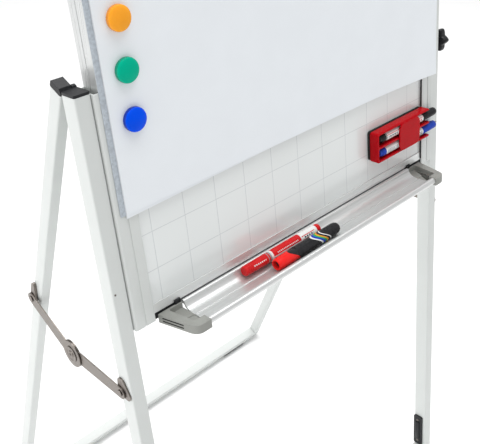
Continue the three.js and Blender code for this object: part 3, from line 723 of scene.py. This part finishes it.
def magnets():
    """Each magnet is a skirt with a glossy domed cap; the skirt's darker colour is painted shade on the
    magnet's side wall.
    """
    looks = (("orange", (0.75, 0.28, 0.03)), ("green", (0.0, 0.26, 0.16)),
             ("blue", (0.0, 0.03, 0.36)))
    for color, skirt_shade in looks:
        node = f"magnet_{color}"
        low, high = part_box(node)
        back = Vector([(a + b) / 2 for a, b in zip(low, high)])
        towards = (FRONT.to_3x3() @ Vector((0, -1, 0))).normalized()
        back -= towards * MAGNET_HALF_DEPTH
        skirt = [(0.0, 0.0), (0.0, 13.2), (0.5, 13.8), (1.0, 14.0), (4.4, 14.0), (5.0, 13.7),
                 (5.2, 0.0)]
        cap = [(4.9, 0.0), (4.9, 13.8), (5.5, 13.75), (6.1, 13.4), (6.8, 12.7), (7.5, 11.3),
               (8.1, 9.4), (8.6, 7.2), (8.95, 5.0), (9.2, 2.5), (9.3, 0.0)]
        # the skirt gets a darker copy of the cap's colour: painted shade
        dark = moulding(f"magnet_skirt_{color}", skirt_shade, 0.2, 0.3)
        for name, profile, material in (("skirt", skirt, dark), ("dome", cap, None)):
            bm = lathe([(h / 1000, r / 1000) for h, r in profile], back, towards, 64)
            piece = add_piece(f"magnet_{name}_{color}", bm, "board", f"{color}_plastic", material, None)
        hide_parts(node)


# ---------------------------------------------------------------- pens
def barrel(name, profile, y, z, material, slot, node):
    """A pen turned about an axis along x; the profile holds (x, radius)."""
    bm = lathe(profile, (0, y, z), (1, 0, 0), 48)
    piece = add_piece(name, bm, "board", slot, material, smooth=40)
    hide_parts(node)


HOLDER_PEN_Y = -12.2
WHITE_MARKER = (-18.5, TRAY_FLOOR + 11.2)    # its axis in the trough


def holder_pens():
    start = 151.5
    for color, z, ink in (("black", -212, INK), ("blue", -234.6, BLUE_INK)):
        height = (FRONT @ Vector((0, HOLDER_PEN_Y, z))).z
        stops = [(0.0, ink), (13, LABEL), (108, ink), (145.5, ink)]
        if color == "black":
            patches = [(15, 107, 3.4, 4.1, RED_INK, 0), (15, 107, -2.9, -2.2, RED_INK, 0),
                       (18, 40, -0.9, 2.2, INK, 2.6), (13, 15, -7, 7, INK, 1.3),
                       (97, 105, -1.5, 2.5, RED_INK, 2.0)]
        else:
            patches = [(16, 34, -3.5, 3.5, GREY, 1.5), (36, 48, -3.5, 3.5, GREY, 1.9),
                       (99, 106, -2.5, 3.0, INK, 1.2)]
        look = banded(f"holder_pen_label_{color}", start, stops, height, patches)
        profile = [(start, 0.0), (start, 4.6), (start + 0.6, 5.2), (start + 5, 5.4),
                   (start + 5.4, 6.3), (start + 6, 6.6), (start + 107, 6.6), (start + 107.6, 6.2),
                   (start + 108.4, 6.2), (start + 109, 6.7), (start + 140, 6.6), (start + 144, 6.2),
                   (start + 145.2, 5.2), (start + 145.5, 3.8), (start + 144.8, 3.4),
                   (start + 138, 3.2), (start + 138, 0.0)]
        barrel(f"holder_marker_{color}", profile, HOLDER_PEN_Y, z, look,
               SLOT_OF[f"holder_pen_{color}"], f"holder_pen_{color}")


def tray_markers():
    start = -142
    stops = [(0.0, RED_INK), (40, GREY), (41.5, RED_INK), (44, GREY), (46.5, LABEL),
             (137, RED_INK), (146, RED_INK)]
    height = (FRONT @ Vector((0, *WHITE_MARKER))).z
    patches = [(50, 104, 2.6, 8, RED_INK, 0), (58, 98, 4.4, 5.6, LABEL, 1.5),
               (50, 128, -0.6, 0.5, INK, 1.1), (106, 132, 5.6, 6.3, RED_INK, 0),
               (106, 132, 1.5, 2.1, RED_INK, 0), (109, 129, 3.0, 5.0, INK, 2.2),
               (14, 36, 3.6, 5.0, LABEL, 1.7)]
    look = banded("white_marker_label", start, stops, height, patches)
    profile = [(start, 0.0), (start, 5.8), (start + 0.8, 6.7), (start + 2, 7.0)]
    for k in range(5):
        x = start + 4 + 3.2 * k
        profile += [(x, 7.1), (x + 0.5, 6.5), (x + 1.1, 6.5), (x + 1.6, 7.1)]
    profile += [(start + 24, 7.2), (start + 43, 7.5), (start + 44, 6.9), (start + 47, 6.9),
                (start + 47.5, 7.7), (start + 136, 7.7), (start + 136.4, 7.1), (start + 143, 7.0),
                (start + 145, 6.4), (start + 146, 5.0), (start + 146, 0.0)]
    barrel("white_marker", profile, *WHITE_MARKER, look, "white_plastic", "marker_white")

    centre = Vector((-39, -37.4, TRAY_FLOOR + 9.6))
    stops = [(0.0, (0.85, 0.01, 0.008)), (38, INK), (84, LABEL), (87, BLUE_INK),
             (92, (0.02, 0.4, 0.08)), (95, (0.75, 0.3, 0.02)), (98, INK), (102, LABEL),
             (104, INK), (128, INK)]
    look = banded("black_marker_label", centre.x - 64, stops, (FRONT @ centre).z, slant=0.8)
    profile = [(-58, 0.0), (-58, 5.4), (-63.4, 5.6), (-64, 6.4), (-63.6, 7.4), (-62, 8.2),
               (-58, 8.5), (-29, 8.8), (-28, 8.2), (-26.5, 8.2), (-26, 8.9), (40, 8.9),
               (56, 8.6), (60, 8.0), (62.5, 6.8), (64, 4.6), (64, 0.0)]
    bm = lathe(profile, (0, 0, 0), (1, 0, 0), 48)
    place = Matrix.Translation(centre) @ Matrix.Rotation(math.radians(1.4), 4, "Z")
    bmesh.ops.transform(bm, matrix=place, verts=bm.verts)
    marker = add_piece("black_marker", bm, "board", "black_plastic", look, smooth=40)
    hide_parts("marker_black")
    # a near-black disc at the bottom of the marker's open end: painted shade of the hollow
    hole = lathe([(-58.2, 0.0), (-58.2, 5.2), (-57.8, 5.2), (-57.8, 0.0)], (0, 0, 0), (1, 0, 0), 32)
    bmesh.ops.transform(hole, matrix=place, verts=hole.verts)
    add_piece("black_marker_hole_shade", hole, "board", "black_plastic", HOLE_SHADE_BLACK)


def pen_holder():
    x0, x1, z0, z1 = 142, 275, -247, -199
    front = -19.5
    base = prism(rounded(x0 - 0.5, z0 + 2, x1 - 3, z1 + 0.5, 3), -3.5, -0.3, "y")
    foam_pad = add_piece("foam_base", base, "board", "rubber")
    soften(foam_pad, 0.4)
    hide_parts("wiper_pad")
    outer = prism(rounded(x0, z0, x1, z1, 4, 8), front, -3.8, "y")
    rim = [e for e in outer.edges if e.calc_face_angle(0) > math.radians(60)]
    bmesh.ops.bevel(outer, geom=rim, offset=1.6, segments=5, affect="EDGES", profile=0.5)
    middle = (z0 + z1) / 2
    cutters = []
    for low, high in ((middle + 1.2, z1 - 3), (z0 + 3, middle - 1.2)):
        bay = prism(rounded(x0 + 3, low, x1 + 20, high, 3), front - 2, -5.2, "y")
        cutters.append(bay)
    holder = add_piece("holder_shell", carve(outer, cutters), "board", "red_plastic")
    soften(holder, 0.5)
    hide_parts("pen_holder")
    tab = prism(rounded(194, z0 + 1.5, 246, z1 - 1.5, 11, 10), front - 2.1, front + 0.4, "y")
    soften(add_piece("holder_tab", tab, "board", "red_plastic"), 0.9, 4)
    for name, low, high in (("lower", z0 + 1, z0 + 4.5), ("upper", z1 - 4.5, z1 - 1)):
        web = prism(rounded(198, low, 242, high, 1), front - 0.6, -12, "y")
        soften(add_piece(f"holder_web_{name}", web, "board", "red_plastic"), 0.4)


# ---------------------------------------------------------------- height clamp knob
KNOB_RADIUS = 17.5               # to the middle of a lobe's flank
LOBE_DEPTH = 2.5
LOBES = 6


def clamp_knob():
    """A six-lobed star knob with a flat hub in its face."""
    face = HALF_WIDTH + 2.5
    y, z = 12.5, -108
    levels = [(4.0, 0.0), (4.0, 0.86), (4.6, 0.94), (6.0, 0.99), (8.0, 1.0), (13.0, 1.0),
              (15.0, 0.975), (16.2, 0.92), (16.9, 0.82), (17.0, 0.55), (16.2, 0.45), (16.0, 0.0)]
    bm = bmesh.new()
    steps = 144
    rings = []
    for height, scale in levels:
        ring = []
        for k in range(steps):
            a = 2 * math.pi * k / steps
            wave = math.cos(LOBES * a)
            swing = (wave + 0.35 * wave * abs(wave)) / 1.35
            r = (KNOB_RADIUS + LOBE_DEPTH * swing) * scale
            if scale < 0.6:
                r = KNOB_RADIUS * scale
            if scale == 0.0:
                r = 0.01
            ring.append(bm.verts.new((face + height, y + r * math.cos(a), z + r * math.sin(a))))
        rings.append(ring)
    for low, high in zip(rings, rings[1:]):
        for k in range(steps):
            following = (k + 1) % steps
            bm.faces.new((low[k], low[following], high[following], high[k]))
    bmesh.ops.remove_doubles(bm, verts=bm.verts, dist=0.02)
    knob = add_piece("star_knob", bm, "clamp_knob", "black_plastic")
    collar = [(0.0, 0.0), (0.0, 8.4), (0.4, 9.0), (5.0, 9.0), (5.0, 0.0)]
    add_piece("knob_collar", lathe(collar, (face, y, z), (1, 0, 0), 48), "clamp_knob", "black_plastic")
    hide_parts("clamp_knob")


frames()
fasteners()
painted_channel_shade()
hub_rivets()
pen_tray()
tray_slit_shade()
tray_caps()
paper_pad()
magnets()
holder_pens()
tray_markers()
pen_holder()
clamp_knob()


# ---------------------------------------------------------------- floor, light and camera
def floor():
    bm = bmesh.new()
    bmesh.ops.create_grid(bm, x_segments=1, y_segments=1, size=9.0)
    mesh = bpy.data.meshes.new("floor")
    bm.to_mesh(mesh)
    bm.free()
    ground = bpy.data.objects.new("floor", mesh)
    bpy.context.scene.collection.objects.link(ground)
    s = Shader("pale_floor", roughness=0.9)
    tone = s.mix(s.between(s.noise(0.8), 0.0, 1.0), (0.93, 0.93, 0.93), (0.95, 0.95, 0.95))
    mesh.materials.append(s.finish(tone))


def area_light(name, place, target, size, power):
    data = bpy.data.lights.new(name, "AREA")
    data.shape = "SQUARE"
    data.size = size
    data.energy = power
    lamp = bpy.data.objects.new(name, data)
    lamp.location = place
    aim = Vector(target) - Vector(place)
    lamp.rotation_euler = aim.to_track_quat("-Z", "Y").to_euler()
    bpy.context.scene.collection.objects.link(lamp)


def studio():
    world = bpy.data.worlds.new("studio")
    world.use_nodes = True
    backdrop = world.node_tree.nodes["Background"]
    backdrop.inputs["Color"].default_value = (1.0, 1.0, 1.0, 1.0)
    backdrop.inputs["Strength"].default_value = 0.63
    bpy.context.scene.world = world
    bpy.context.scene.view_settings.view_transform = "Standard"
    area_light("key", (-3.2, 0.5, 1.6), (0, 0, 0.9), 1.6, 34)
    area_light("top", (0.3, 0.3, 4.2), (0, 0, 0), 3.6, 165)


def camera():
    data = bpy.data.cameras.new("camera")
    data.sensor_width = 36
    data.lens = 57.02
    data.shift_x = -0.0257
    data.shift_y = -0.0970
    eye = bpy.data.objects.new("camera", data)
    eye.location = (-0.6913, -0.7690, 1.3117)
    eye.rotation_euler = [math.radians(turn) for turn in (59.378, -0.189, -44.213)]
    bpy.context.scene.collection.objects.link(eye)
    bpy.context.scene.camera = eye


floor()
studio()
camera()
